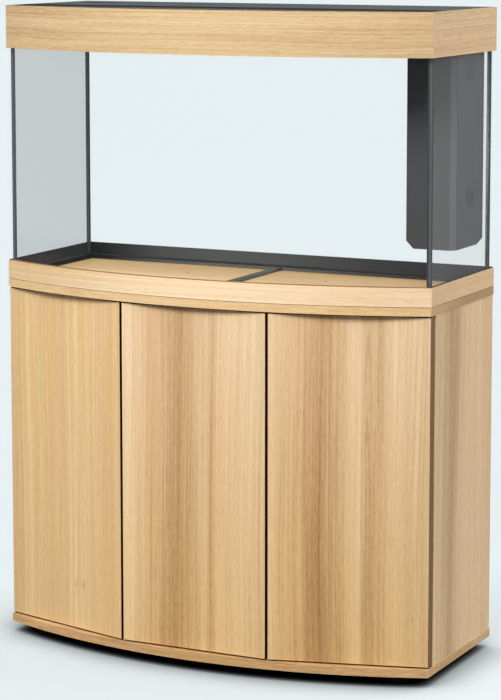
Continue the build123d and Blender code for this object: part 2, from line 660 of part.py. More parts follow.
for tube_y in (bar_y - TUBE_SPACING / 2, bar_y + TUBE_SPACING / 2):
    tubes.append(rod((-tube_half, tube_y, tube_z), (1, 0, 0), TUBE_RADIUS, 2 * tube_half))
    socket = block(
        socket_face, socket_end, tube_y - SOCKET_WIDTH / 2, tube_y + SOCKET_WIDTH / 2,
        bar_bottom - SOCKET_HEIGHT, bar_bottom,
    )
    socket -= rod((socket_face, tube_y, tube_z), (1, 0, 0), TUBE_RADIUS + FIT, SOCKET_POCKET)
    sockets += both_sides(socket)
nodes["light_tubes"] = group(tubes)
nodes["tube_sockets"] = group(sockets)

# Inner filter: an open-topped housing bonded into the right back corner
filter_x1 = pane_half - FILTER_SIDE_GAP
filter_x0 = filter_x1 - FILTER_WIDTH
filter_y1 = glass_back_inner - FILTER_BACK_GAP
filter_y0 = filter_y1 - FILTER_DEPTH
filter_z0 = floor_top + FILTER_RAISE
filter_z1 = filter_z0 + FILTER_HEIGHT
divider_y = filter_y0 + FILTER_DIVIDER_Y


def bevelled(x0, x1, y0, y1, z0, z1):
    """An upright block with its front right edge taken off."""
    outline = Polyline(
        (x0, y0), (x1 - FILTER_BEVEL, y0), (x1, y0 + FILTER_BEVEL), (x1, y1), (x0, y1), close=True
    )
    return raised([outline], z0, z1)


def filter_block(wall, top):
    """The housing's outer form, or its hollow when wall is the wall's thickness."""
    x0, x1 = filter_x0 + wall, filter_x1 - wall
    y0, y1, z0 = filter_y0 + wall, filter_y1 - wall, filter_z0 + wall
    form = bevelled(x0, x1, y0, y1, z0, top)
    foot = Polyline((x0, z0), (x0 + FILTER_FOOT_BEVEL, z0), (x0, z0 + FILTER_FOOT_BEVEL), close=True)
    form -= extrude(Plane.XZ * make_face([foot]), amount=2 * DEPTH, both=True)
    heel = Polyline((y1, z0), (y1, z0 + FILTER_HEEL_RISE), (y1 - FILTER_HEEL_DEPTH, z0), close=True)
    return form - extrude(Plane.YZ * make_face([heel]), amount=2 * WIDTH, both=True)


hollow_x0, hollow_x1 = filter_x0 + FILTER_WALL, filter_x1 - FILTER_WALL
hollow_y0, hollow_y1 = filter_y0 + FILTER_WALL, filter_y1 - FILTER_WALL
divider_y0, divider_y1 = divider_y - FILTER_WALL / 2, divider_y + FILTER_WALL / 2
housing = filter_block(0, filter_z1) - filter_block(FILTER_WALL, filter_z1)
housing += block(
    hollow_x0, hollow_x1, divider_y0, divider_y1, filter_z0 + DIVIDER_FOOT, filter_z1 - DIVIDER_HEAD
)
basket_seat = filter_z0 + FILTER_WALL + FILTER_FOOT_BEVEL + RIB_HEIGHT
pump_seat = filter_z0 + PUMP_RAISE
for seat, y0, y1 in ((basket_seat, hollow_y0 + FILTER_BEVEL, divider_y0), (pump_seat, divider_y1, hollow_y1)):
    for x0, x1 in ((hollow_x0, hollow_x0 + RIB_WIDTH), (hollow_x1 - RIB_WIDTH, hollow_x1)):
        housing += block(x0, x1, y0, y1, seat - RIB_HEIGHT, seat)
slot_y = (hollow_y0 + divider_y0) / 2
for index in range(SLOT_COUNT):
    slot_z = filter_z0 + SLOT_RAISE + index * SLOT_PITCH
    housing -= block(
        filter_x0, hollow_x0, slot_y - SLOT_LENGTH / 2, slot_y + SLOT_LENGTH / 2, slot_z, slot_z + SLOT_HEIGHT
    )
nozzle_y = (divider_y1 + hollow_y1) / 2
nozzle_z = filter_z1 - NOZZLE_DROP
housing -= rod((filter_x0, nozzle_y, nozzle_z), (1, 0, 0), NOZZLE_RADIUS + RUNNING, FILTER_WALL)
nodes["filter_housing"] = housing

# Silicone pads that bond the housing to the right and back panes
pads = []
for height in PAD_HEIGHTS:
    z0, z1 = filter_z0 + height, filter_z0 + height + PAD_SIZE
    pad_y, pad_x = (filter_y0 + filter_y1) / 2, (filter_x0 + filter_x1) / 2
    pads.append(block(filter_x1, pane_half, pad_y - PAD_SIZE / 2, pad_y + PAD_SIZE / 2, z0, z1))
    pads.append(block(pad_x - PAD_SIZE / 2, pad_x + PAD_SIZE / 2, filter_y1, glass_back_inner, z0, z1))
nodes["filter_pads"] = group(pads)

# Media basket in the front chamber, and the sponges stacked in it
basket_sides = (hollow_x0 + BASKET_GAP, hollow_x1 - BASKET_GAP)
basket_ends = (hollow_y0 + BASKET_GAP, divider_y0 - BASKET_GAP)
basket_top = basket_seat + BASKET_HEIGHT
basket = bevelled(*basket_sides, *basket_ends, basket_seat, basket_top)
basket -= bevelled(
    basket_sides[0] + BASKET_WALL, basket_sides[1] - BASKET_WALL, basket_ends[0] + BASKET_WALL,
    basket_ends[1] - BASKET_WALL, basket_seat + BASKET_WALL, basket_top,
)
for index in range(SLOT_COUNT):
    slot_z = filter_z0 + SLOT_RAISE + index * SLOT_PITCH
    basket -= block(
        basket_sides[0], basket_sides[0] + BASKET_WALL, slot_y - SLOT_LENGTH / 2, slot_y + SLOT_LENGTH / 2,
        slot_z, slot_z + SLOT_HEIGHT,
    )
nodes["media_basket"] = basket
sponge_in = BASKET_WALL + SPONGE_GAP
sponges = []
for index in range(SPONGE_COUNT):
    z0 = basket_seat + BASKET_WALL + index * (SPONGE_HEIGHT + AIR)
    sponges.append(bevelled(
        basket_sides[0] + sponge_in, basket_sides[1] - sponge_in,
        basket_ends[0] + sponge_in, basket_ends[1] - sponge_in, z0, z0 + SPONGE_HEIGHT,
    ))
nodes["filter_sponges"] = group(sponges)

# Pump on ribs in the rear chamber: plate, motor block, volute with a fixed shaft, and outlet pipe
pump_x = (hollow_x0 + hollow_x1) / 2
plate_top = pump_seat + PUMP_PLATE
pipe_x = pump_x - PIPE_OFFSET
pump = block(
    hollow_x0 + AIR, hollow_x1 - AIR, divider_y1 + AIR, hollow_y1 - AIR, pump_seat, plate_top
)
pump += block(
    pump_x - PUMP_WIDTH / 2, pump_x + PUMP_WIDTH / 2, nozzle_y - PUMP_DEPTH / 2, nozzle_y + PUMP_DEPTH / 2,
    plate_top, plate_top + PUMP_HEIGHT,
)
under_plate = (pump_x, nozzle_y, pump_seat)
volute = rod(under_plate, (0, 0, -1), VOLUTE_RADIUS, VOLUTE_HEIGHT)
volute -= rod(under_plate, (0, 0, -1), VOLUTE_RADIUS - VOLUTE_WALL, VOLUTE_HEIGHT)
pump += volute + rod(under_plate, (0, 0, -1), SHAFT_RADIUS, SHAFT_LENGTH)
motor_top = plate_top + PUMP_HEIGHT
spigot_end = hollow_x0 - FILTER_WALL
pump += rod((pipe_x, nozzle_y, motor_top), (0, 0, 1), PIPE_RADIUS, nozzle_z + PIPE_RADIUS - motor_top)
pump += rod((spigot_end, nozzle_y, nozzle_z), (1, 0, 0), PIPE_RADIUS, pipe_x - spigot_end)
pump -= rod((pipe_x, nozzle_y, motor_top), (0, 0, 1), PIPE_BORE, nozzle_z - motor_top)
pump -= rod((spigot_end, nozzle_y, nozzle_z), (1, 0, 0), PIPE_BORE, pipe_x - spigot_end)
nodes["pump_body"] = pump

vane_top = pump_seat - AIR
hub = rod((pump_x, nozzle_y, vane_top), (0, 0, -1), HUB_RADIUS, VANE_HEIGHT)
vane = block(0, VANE_REACH, -VANE_THICKNESS / 2, VANE_THICKNESS / 2, vane_top - VANE_HEIGHT, vane_top)
for index in range(VANE_COUNT):
    hub += Pos(pump_x, nozzle_y, 0) * Rot(0, 0, index * 360 / VANE_COUNT) * vane
nodes["impeller"] = hub - rod(under_plate, (0, 0, -1), SHAFT_RADIUS + RUNNING, SHAFT_LENGTH)

# Outlet nozzle: a flanged sleeve through the housing wall with an angled spout
sleeve_end = hollow_x0 + NOZZLE_INNER_LENGTH
flange_x = filter_x0 - AIR
slant = math.radians(SPOUT_ANGLE)
spout_way = (-math.cos(slant), -math.sin(slant), 0)
elbow = (flange_x - NOZZLE_FLANGE, nozzle_y, nozzle_z)
nozzle = rod((elbow[0], nozzle_y, nozzle_z), (1, 0, 0), NOZZLE_RADIUS, sleeve_end - elbow[0])
nozzle += rod(elbow, (1, 0, 0), NOZZLE_FLANGE_RADIUS, NOZZLE_FLANGE)
nozzle += rod(elbow, spout_way, SPOUT_RADIUS, SPOUT_LENGTH)
nozzle -= rod((filter_x0, nozzle_y, nozzle_z), (1, 0, 0), PIPE_RADIUS + RUNNING, sleeve_end - filter_x0)
nozzle -= rod((filter_x0, nozzle_y, nozzle_z), spout_way, SPOUT_BORE, 2 * SPOUT_LENGTH)
nodes["outlet_nozzle"] = nozzle

# Heater: a glass tube with a plastic head, standing on the chamber's floor
heater_x = hollow_x0 + HEATER_OFFSET_X
heater_y = divider_y1 + HEATER_HEAD_RADIUS + RIB_WIDTH
heater_z = filter_z0 + FILTER_WALL
heater = rod((heater_x, heater_y, heater_z), (0, 0, 1), HEATER_RADIUS, HEATER_LENGTH)
head_z = heater_z + HEATER_LENGTH
nodes["heater"] = heater + rod((heater_x, heater_y, head_z), (0, 0, 1), HEATER_HEAD_RADIUS, HEATER_HEAD_LENGTH)

os.makedirs("parts", exist_ok=True)
for name, shape in nodes.items():
    export_step(shape, f"parts/{name}.step")
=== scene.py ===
import math

import bmesh
import bpy
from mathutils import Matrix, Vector, noise


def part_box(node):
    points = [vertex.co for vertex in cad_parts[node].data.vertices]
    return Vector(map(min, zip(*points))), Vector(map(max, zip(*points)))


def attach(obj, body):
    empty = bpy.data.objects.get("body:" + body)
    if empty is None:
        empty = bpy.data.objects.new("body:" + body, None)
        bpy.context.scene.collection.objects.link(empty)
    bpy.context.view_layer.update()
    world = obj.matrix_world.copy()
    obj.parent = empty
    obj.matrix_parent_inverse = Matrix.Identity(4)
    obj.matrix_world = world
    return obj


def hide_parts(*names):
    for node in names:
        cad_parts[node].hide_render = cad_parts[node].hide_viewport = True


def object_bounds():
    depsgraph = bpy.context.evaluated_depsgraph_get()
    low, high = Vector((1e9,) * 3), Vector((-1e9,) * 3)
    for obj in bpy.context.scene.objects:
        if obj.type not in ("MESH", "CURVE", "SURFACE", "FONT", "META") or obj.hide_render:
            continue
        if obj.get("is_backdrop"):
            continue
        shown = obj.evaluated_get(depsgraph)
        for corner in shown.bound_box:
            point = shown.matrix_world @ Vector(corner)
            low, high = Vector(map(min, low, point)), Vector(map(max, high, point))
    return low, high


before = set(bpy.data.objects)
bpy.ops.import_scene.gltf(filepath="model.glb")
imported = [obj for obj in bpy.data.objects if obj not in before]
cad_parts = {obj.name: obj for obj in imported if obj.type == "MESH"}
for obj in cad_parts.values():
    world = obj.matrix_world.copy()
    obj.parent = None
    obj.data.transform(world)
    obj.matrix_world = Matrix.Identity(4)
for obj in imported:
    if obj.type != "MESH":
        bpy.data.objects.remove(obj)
cad_low, cad_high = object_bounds()

# Base and top boards: 16 mm chipboard faced with light oak-look laminate, cut to the bow of the tank.
# They are screwed onto the ends of the uprights, and their grain runs across the front.


class Wire:
    """A socket that does sums: an expression on wires adds the Math nodes it needs."""

    def __init__(self, tree, socket=None):
        self.tree, self.socket = tree, socket

    def node(self, kind, settings, sockets, out=0):
        """Adds a node of a type, with its settings first and then its sockets' values or links."""
        made = self.tree.nodes.new(kind)
        for name, value in settings.items():
            if name == "stops":
                ramp = made.color_ramp.elements
                while len(ramp) < len(value):
                    ramp.new(1.0)
                for stop, (position, colour) in zip(ramp, value):
                    stop.position, stop.color = position, colour
            else:
                setattr(made, name, value)
        connect(made, sockets)
        return Wire(self.tree, made.outputs[out])

    def sum(self, operation, *terms):
        return self.node("ShaderNodeMath", {"operation": operation}, dict(enumerate(terms)))

    def __add__(self, other):
        return self.sum("ADD", self, other)

    def __sub__(self, other):
        return self.sum("SUBTRACT", self, other)

    def __rsub__(self, other):
        return self.sum("SUBTRACT", other, self)

    def __mul__(self, other):
        return self.sum("MULTIPLY", self, other)

    def __truediv__(self, other):
        return self.sum("DIVIDE", self, other)

    def __pow__(self, other):
        return self.sum("POWER", self, other)

    __radd__, __rmul__ = __add__, __mul__

    def size(self):
        """The number without its sign."""
        return self.sum("ABSOLUTE", self)

    def at_least(self, low):
        """The number, or low where that is more."""
        return self.sum("MAXIMUM", self, low)

    def step(self, low, high):
        """0 below low, 1 above high, and a smooth rise between them."""
        sockets = {"Value": self, "From Min": low, "From Max": high}
        return self.node("ShaderNodeMapRange", {"interpolation_type": "SMOOTHSTEP"}, sockets)

    def hump(self, centre, reach):
        """1 at the centre, fading to 0 a reach away on either side."""
        return 1 - (self - centre).size().step(0.0, reach)

    def split(self):
        """The three parts of a vector."""
        made = self.node("ShaderNodeSeparateXYZ", {}, {0: self}).socket.node
        return [Wire(self.tree, socket) for socket in made.outputs]

    def stretch(self, scale):
        """A vector with each part scaled by its own number."""
        return self.node("ShaderNodeVectorMath", {"operation": "MULTIPLY"}, {0: self, 1: scale})

    def cloud(self, scale, detail=2.0):
        """Soft noise on a vector, about 0.5 on average."""
        return self.node("ShaderNodeTexNoise", {}, {"Vector": self, "Scale": scale, "Detail": detail})

    def tint(self, low, high):
        """A colour that goes from low at 0 to high at 1."""
        return self.node("ShaderNodeMix", {"data_type": "RGBA"}, {0: self, 6: low, 7: high}, out=2)

    def stain(self, colour, dye):
        """A colour dyed by this share of a dye."""
        settings = {"data_type": "RGBA", "blend_type": "MULTIPLY"}
        return self.node("ShaderNodeMix", settings, {0: self, 6: colour, 7: dye}, out=2)

    def relief(self, depth):
        """A normal from this height, where 1 stands a depth in metres above 0."""
        return self.node("ShaderNodeBump", {}, {"Height": self, "Distance": depth})


def connect(node, sockets):
    """Sets a node's sockets to plain values, or links wires to them."""
    for name, value in sockets.items():
        if isinstance(value, Wire):
            value.tree.links.new(value.socket, node.inputs[name])
        else:
            node.inputs[name].default_value = value


def paint(red, green, blue):
    """A colour as a paint chart gives it, from 0 to 255, in the renderer's own scale."""
    levels = [value / 255 for value in (red, green, blue)]
    return [v / 12.92 if v <= 0.04045 else ((v + 0.055) / 1.055) ** 2.4 for v in levels] + [1.0]


def start_finish(name):
    """A new material with its shader and the piece's own coordinates at rest, in metres."""
    material = bpy.data.materials.new(name)
    material.use_nodes = True
    tree = material.node_tree
    place = Wire(tree).node("ShaderNodeTexCoord", {}, {}, out="Object")
    return material, tree.nodes["Principled BSDF"], place


def clad(material, *names):
    """Gives CAD nodes a material."""
    for name in names:
        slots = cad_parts[name].data.materials
        slots.clear()
        slots.append(material)


OAK_STOPS = [
    (0.0, paint(150, 113, 73)), (0.3, paint(192, 156, 113)), (0.55, paint(220, 187, 144)),
    (0.78, paint(236, 205, 163)), (1.0, paint(249, 224, 186)),
]
# Each layer of the grain: waves a metre across it, waves a metre along it, detail, and weight.
OAK_LAYERS = {
    "broad": (17.0, 0.5, 1.0, 0.32),
    "middling": (75.0, 0.9, 2.0, 0.28),
    "fine": (300.0, 2.2, 3.0, 0.58),
    "dashes": (420.0, 55.0, 2.0, 0.34),
    "fibres": (900.0, 9.0, 2.0, 0.14),
}
# Broad streaks that are yellower or pinker than the rest: dye, waves a metre across, and strength.
OAK_TINGES = [((255, 238, 212), 23.0, 0.22), ((255, 240, 234), 14.0, 0.4)]
PORE_DARK, KNOT_DARK, RING_DARK, HEART_DARK = 0.1, 0.24, 0.16, 0.07
KNOT_STRETCH = 2.2
GRAIN_WANDER = 0.03
SHADE_FALL_FROM = 0.7
SHADE_FALL_YELLOW = 6.0
X, Y, Z = range(3)


def oak(name, along, across, level, seed, bands=(), knots=(), arches=(), darker_ends=(), shade_fall=0.0, bent=False,
        patches=(), dye=(255, 255, 255), shade=None):
    """Light oak laminate with its grain along one axis.

    Bands are stripes (place across the grain, reach, lightness); patches are the same along the grain;
    knots are (across, along, size);
    arches are pointed growth rings (across, tip along, half width, length below the tip);
    edged lists ends that are painted darker (board, axis, dye), mostly as the shade in the gaps round doors
    and partitions; dye goes over the whole board;
    fall paints shade: how much darker and yellower the grain is painted for each metre down, as under light
    from above;
    bent strips keep their grain round the bow;
    shade is painted shade: a stretch along an axis over which a board is painted darker (axis, start, end,
    dye).
    """
    material, shader, place = start_finish(name)
    parts = place.split()
    run, side, through = parts[along], parts[across], parts[X + Y + Z - along - across]
    drift = place.stretch([1.1 if axis == along else 3.0 for axis in (X, Y, Z)]).cloud(1.0, 1.0)
    lean = side + (drift - 0.5) * GRAIN_WANDER
    through_share = 0.01 if bent else 0.35

    def streaks(fineness, length, detail):
        """Noise drawn out along the grain."""
        sockets = {0: lean * fineness + seed, 1: through * fineness * through_share, 2: run * length}
        return place.node("ShaderNodeCombineXYZ", {}, sockets).cloud(1.0, detail)

    value, grain = level, {}
    for layer, (fineness, length, detail, weight) in OAK_LAYERS.items():
        grain[layer] = streaks(fineness, length, detail)
        value = value + (grain[layer] - 0.5) * weight
    pores = streaks(520.0, 26.0, 1.0).step(0.64, 0.76)
    # Painted shade: below a set height the grain is painted darker, and yellower further on, for each metre
    # down.
    painted_fall_shade = (SHADE_FALL_FROM - parts[Z]) * shade_fall
    value = value - pores * PORE_DARK - painted_fall_shade
    for centre, reach, lightness in bands:
        value = value + lean.hump(centre, reach) * lightness
    for centre, reach, lightness in patches:
        value = value + run.hump(centre, reach) * lightness
    for knot_across, knot_along, knot_size in knots:
        far_across = (side - knot_across) / knot_size
        far_along = (run - knot_along) / (knot_size * KNOT_STRETCH)
        far = far_across ** 2.0 + far_along ** 2.0
        value = value - (1 - far.step(0.0, 1.0)) * KNOT_DARK
    for tip_across, tip_along, half_width, length in arches:
        inside = (tip_along - run) / length - ((side - tip_across) / half_width) ** 2.0
        value = value - inside.hump(0.0, 0.05) * RING_DARK - inside.step(0.0, 0.3) * HEART_DARK
    stops = [(stop, [part * share for part, share in zip(tone, paint(*dye))]) for stop, tone in OAK_STOPS]
    colour = value.node("ShaderNodeValToRGB", {"stops": stops}, {0: value})
    for tinge, fineness, amount in OAK_TINGES:
        colour = (streaks(fineness, 0.6, 1.0).step(0.47, 0.68) * amount).stain(colour, paint(*tinge))
    colour = (painted_fall_shade * SHADE_FALL_YELLOW).stain(colour, paint(255, 247, 218))
    if shade:
        axis, start, end, shade_dye = shade
        colour = parts[axis].step(start, end).stain(colour, paint(*shade_dye))
    for board, axis, end_dye in darker_ends:
        low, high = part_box(board)
        middle, half = (low[axis] + high[axis]) / 2, (high[axis] - low[axis]) / 2
        end_face = (parts[axis] - middle).size().step(half - 0.0006, half - 0.0002)
        colour = end_face.stain(colour, paint(*end_dye))
    connect(shader, {
        "Base Color": colour,
        "Roughness": 0.42 + (grain["fine"] - 0.5) * 0.2,
        "Normal": (grain["fibres"] * 0.6 + grain["fine"] - pores * 0.8).relief(0.00012),
        "Specular IOR Level": 0.2,
    })
    return material


# The top board is painted darker towards the back: painted shade, as under the hood over the tank floor. Its
# side ends are painted a little darker.
top_ends = [("top_panel", X, (226, 222, 214))]
hood_shade = (Y, -0.15, 0.12, (216, 211, 206))
clad(
    oak("oak_top", X, Z, level=0.7, seed=2.0, darker_ends=top_ends, dye=(255, 251, 238), shade=hood_shade),
    "top_panel",
)
clad(oak("oak_base", X, Z, level=0.4, seed=6.0, dye=(255, 252, 238)), "base_panel")

# Side boards and partitions: the same laminated board standing upright between base and top,
# with its grain up and down. Screws through the top and base boards hold their ends.

# Dark brown painted on board ends that face into narrow gaps: painted shade.
GAP_SHADE = (70, 58, 40)
side_bands = [(0.0, 0.08, -0.2), (0.11, 0.06, 0.1)]
# The side boards are painted a little lighter towards the bottom: painted light.
clad(
    oak("oak_sides", Z, Y, level=0.56, seed=4.0, bands=side_bands, shade_fall=-0.1),
    "left_side_panel", "right_side_panel",
)
# The partitions' front and back edges are painted dark, as the shade behind the gaps between the doors.
clad(
    oak("oak_partitions", Z, Y, level=0.55, seed=9.0, darker_ends=[("left_partition", Y, GAP_SHADE)]),
    "left_partition", "right_partition",
)

# Back board: 4 mm hardboard with a printed oak-look face, let in behind the side boards.
# Each compartment has a cut-out at the top for cables and hoses.

clad(oak("oak_print", Z, X, level=0.5, seed=15.0), "back_panel")

# Shelves: one in each outer compartment, sawn from the cabinet's own laminated board.
# Each lies loose on four pins, so that it lifts out.

clad(oak("oak_shelves", X, Y, level=0.55, seed=21.0), "left_shelf", "right_shelf")

# Shelf pins and screws: plated steel. The panel screws, browned to go with the wood, hold the top
# and base boards to the uprights, and the small zinc ones hold the glides and the latches.


def plated_steel(name, dark, light):
    """Plated steel, a little mottled."""
    material, shader, place = start_finish(name)
    mottle = place.cloud(700.0, 3.0)
    connect(shader, {
        "Base Color": mottle.tint(dark, light),
        "Metallic": 1.0,
        "Roughness": 0.3 + mottle * 0.25,
        "Normal": place.cloud(2600.0).relief(0.00003),
    })
    return material


zinc_plate = plated_steel("zinc_plate", paint(150, 150, 154), paint(188, 188, 190))
clad(zinc_plate, "shelf_pins", "fixing_screws")
clad(plated_steel("brown_plate", paint(24, 15, 9), paint(44, 30, 18)), "panel_screws")

# Glides: turned black plastic feet under the base board, each held by a screw in its recess.
# They lift the cabinet so that it seems to float above the floor.


def speckled_plastic(name, dark, light, roughness, fineness, detail=2.0, spread=0.15, depth=0.0, gloss=0.5):
    """Plastic with a fine speckle, which spreads its roughness too. A depth in metres makes it uneven."""
    material, shader, place = start_finish(name)
    speckle = place.cloud(fineness, detail)
    connect(shader, {
        "Base Color": speckle.tint(dark, light),
        "Roughness": roughness + speckle * spread,
        "Specular IOR Level": gloss,
    })
    if depth:
        connect(shader, {"Normal": speckle.relief(depth)})
    return material


clad(
    speckled_plastic(
        "glide_plastic", paint(10, 10, 11), paint(20, 20, 21), roughness=0.5, fineness=900.0,
        detail=3.0, spread=0.2, depth=0.0001, gloss=0.1,
    ),
    "glides",
)

# Doors: three flat 16 mm boards with the oak laminate's grain running up and down, without handles.
# Each turns on steel pins in its top and bottom edges. Their ends are painted dark brown, as the shade in
# the gaps round them.

left_bands = [(-0.447, 0.03, -0.08), (-0.284, 0.03, 0.16), (-0.335, 0.05, -0.06)]
middle_bands = [
    (-0.15, 0.04, 0.2), (-0.037, 0.075, -0.31), (0.043, 0.014, -0.16), (0.02, 0.02, 0.06), (0.1, 0.06, 0.14),
]
right_bands = [(0.164, 0.03, 0.18), (0.26, 0.075, -0.3), (0.323, 0.03, 0.1), (0.409, 0.05, 0.1)]
left_knots = [(-0.262, 0.13, 0.006), (-0.281, 0.127, 0.005)]
right_arches = [(0.345, 0.66, 0.02, 0.9), (0.343, 0.5, 0.016, 0.8)]
# Each door: name, level, seed, bands, knots, arches, painted fall of shade, dye, and the dark paint on its
# side ends. On the right door's outer end that paint is partly a dark edging and partly painted shade;
# elsewhere it is painted shade in the gaps.
for name, level, seed, bands, knots, arches, shade_fall, dye, end_edging_and_shade in (
    ("left_door", 0.7, 31.0, left_bands, left_knots, (), 0.02, (255, 251, 236), GAP_SHADE),
    ("middle_door", 0.69, 37.5, middle_bands, (), (), 0.16, (255, 255, 255), GAP_SHADE),
    ("right_door", 0.66, 44.0, right_bands, (), right_arches, 0.17, (255, 255, 255), (126, 104, 62)),
):
    ends = [(name, X, end_edging_and_shade), (name, Z, GAP_SHADE)]
    clad(oak(f"oak_{name}", Z, X, level, seed, bands, knots, arches, ends, shade_fall, dye=dye), name)
clad(zinc_plate, "left_door_pins", "middle_door_pins", "right_door_pins")

# Door bushes: moulded from slippery dark plastic, one round each pin of the doors.
# They are pressed into holes in the base and top boards.

clad(
    speckled_plastic("bush_plastic", paint(66, 66, 66), paint(84, 84, 83), roughness=0.35, fineness=1200.0),
    "door_bushes",
)

# Push latches: grey moulded bodies under the top board with sprung plungers, so that a push
# on the closed door opens it. A small steel plate on each door meets the plunger.

clad(
    speckled_plastic(
        "latch_plastic", paint(140, 140, 142), paint(160, 160, 161), roughness=0.42, fineness=800.0,
        detail=3.0, depth=0.00005,
    ),
    "latch_bodies", "left_latch_plunger", "middle_latch_plunger", "right_latch_plunger",
)
clad(zinc_plate, "left_strike_plate", "middle_strike_plate", "right_strike_plate")

# Lower frame: one moulding of satin black plastic that carries the tank on the cabinet,
# with a ledge all round for the floor glass and a bar across the middle.


def black_moulding(name, dark, light, roughness, painted_light=None, gloss=0.25):
    """Satin black plastic with a fine moulded grain. Its painted light, where given, paints highlights and
    shade onto parts of it.
    """
    material, shader, place = start_finish(name)
    grain = place.cloud(1500.0)
    haze = place.cloud(9.0)
    tone = (grain * 0.6 + haze * 0.4).tint(dark, light)
    if painted_light:
        tone = painted_light(tone, *place.split())
    connect(shader, {
        "Base Color": tone,
        "Roughness": roughness + (haze - 0.5) * 0.16 + (grain - 0.5) * 0.1,
        "Normal": grain.relief(0.00001),
        "Specular IOR Level": gloss,
    })
    return material


def frame_light_shade_and_lip(tone, x, y, z):
    """Painted highlight along the middle, painted shade at the left end, and brown on the lip above the
    front trim.
    """
    tone = x.hump(-0.1, 0.4).tint(tone, paint(94, 95, 92))
    tone = x.hump(-0.46, 0.2).tint(tone, paint(8, 7, 5))
    lip_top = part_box("lower_frame")[1].z
    on_top = z.step(lip_top - 0.0021, lip_top - 0.0019)
    at_front = 1 - y.step(-0.06, -0.05)
    between_sides = 1 - x.size().step(0.452, 0.454)
    return (on_top * at_front * between_sides).tint(tone, paint(150, 112, 74))


clad(
    black_moulding(
        "lower_frame", paint(50, 50, 51), paint(66, 66, 67), roughness=0.6, painted_light=frame_light_shade_and_lip, gloss=0.08,
    ),
    "lower_frame",
)

# Lower trims: thin oak-look strips bonded to the front and sides of the lower frame,
# with the grain along the strip. The front strip is bent round the bow.

trim_bands = [(0.757, 0.012, 0.06)]
lower_patches = [(-0.46, 0.5, -0.24), (0.0, 0.4, 0.1)]
clad(
    oak("oak_lower_front", X, Z, level=0.87, seed=52.0, bands=trim_bands, bent=True, patches=lower_patches),
    "lower_trim_front",
)
clad(oak("oak_lower_sides", Y, Z, level=0.58, seed=57.0), "lower_trim_left", "lower_trim_right")

# Upright panes: four of 8 mm float glass with polished edges, the front one bent to the bow.
# They are bonded edge to edge with silicone.

GLASS_IOR = 1.5
SMEAR_LIGHTER = 8


def clear_finish(name, veil, slant_reflection, tone):
    """Something clear that veils a little of what is behind it, and more of it at a slant; the veil stands
    in for the reflection of the surroundings: a painted reflection.
    """
    material, shader, place = start_finish(name)
    slant = place.node("ShaderNodeLayerWeight", {}, {"Blend": 0.5}, out="Facing")
    smears = place.cloud(6.0, 3.0)
    connect(shader, {
        "Base Color": smears.tint(paint(*tone), paint(*[value + SMEAR_LIGHTER for value in tone])),
        "Roughness": 0.03 + smears * 0.03,
        "Alpha": veil + slant ** 2.0 * slant_reflection,
        "IOR": GLASS_IOR,
    })
    return material


clad(
    clear_finish("tank_glass", veil=0.006, slant_reflection=0.07, tone=(180, 190, 190)),
    "front_glass", "back_glass",
)
# The side panes are copies of the same glass, each with its own painted reflection: a dark grey veil on the
# left pane and a pale one on the right.
clad(clear_finish("left_glass", veil=0.02, slant_reflection=0.74, tone=(72, 76, 77)), "left_glass")
clad(clear_finish("right_glass", veil=0.015, slant_reflection=0.24, tone=(174, 176, 176)), "right_glass")

# Floor pane: 8 mm float glass bedded in silicone on the frame's ledge. It is seen at a slant, so it
# bends what shows through it and lifts the wood below. Light from the lamps and light that bounces
# about go straight through.

material, shader, place = start_finish("floor_glass")
bounced, lamp_light = (
    place.node("ShaderNodeLightPath", {}, {}, out=f"Is {kind} Ray") for kind in ("Diffuse", "Shadow")
)
smears = place.cloud(6.0, 3.0)
bent_light = place.node("ShaderNodeBsdfRefraction", {}, {
    "Color": smears.tint(paint(250, 254, 252), paint(255, 255, 255)),
    "Roughness": 0.0,
    "IOR": GLASS_IOR,
})
straight_light = place.node("ShaderNodeBsdfTransparent", {}, {})
let_through = place.node("ShaderNodeMixShader", {}, {
    0: bounced.at_least(lamp_light), 1: bent_light, 2: straight_light,
})
connect(place.tree.nodes["Material Output"], {"Surface": let_through})
place.tree.nodes.remove(shader)
clad(material, "bottom_glass")

# Silicone: black joints in the four upright corners and a bead round the floor glass.
# It is pressed in from a cartridge and smoothed by finger, which leaves it slightly rippled.

material, shader, place = start_finish("silicone")
ripple = place.stretch((60.0, 60.0, 14.0)).cloud(1.0)
low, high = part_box("right_glass")
# A paler stripe down the middle of the corner joints: a painted highlight.
painted_highlight = place.split()[X].size().hump((low.x + high.x) / 2, 0.003)
connect(shader, {
    "Base Color": painted_highlight.tint(ripple.tint(paint(32, 34, 36), paint(46, 48, 50)), paint(88, 90, 91)),
    "Roughness": 0.34 + ripple * 0.2,
    "Normal": ripple.relief(0.0003),
})
clad(material, "corner_silicone", "floor_silicone")

# Inner filter: a tall open-topped housing of charcoal plastic bonded into the right back corner,
# on pads of clear silicone, with intake slots, a lift-out basket, a pump and an outlet nozzle.

FILTER_BEVEL = 0.010


def filter_light_and_shade(tone, x, y, z):
    """Painted light on the bevel across the front corner, painted shade on the flank behind it."""
    low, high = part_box("filter_housing")
    bevel = high.x - FILTER_BEVEL - low.y
    tone = (x - y).step(bevel - 0.0005, bevel - 0.0001).tint(tone, paint(96, 96, 97))
    return x.step(high.x - 0.0006, high.x - 0.0002).tint(tone, paint(32, 32, 33))


clad(
    black_moulding(
        "filter_housing", paint(60, 60, 61), paint(72, 72, 73), roughness=0.6, painted_light=filter_light_and_shade,
    ),
    "filter_housing",
)
clad(
    black_moulding("filter_plastic", paint(54, 54, 55), paint(66, 66, 67), roughness=0.5),
    "media_basket", "pump_body", "outlet_nozzle",
)
clad(clear_finish("clear_silicone", veil=0.04, slant_reflection=0.05, tone=(90, 92, 92)), "filter_pads")

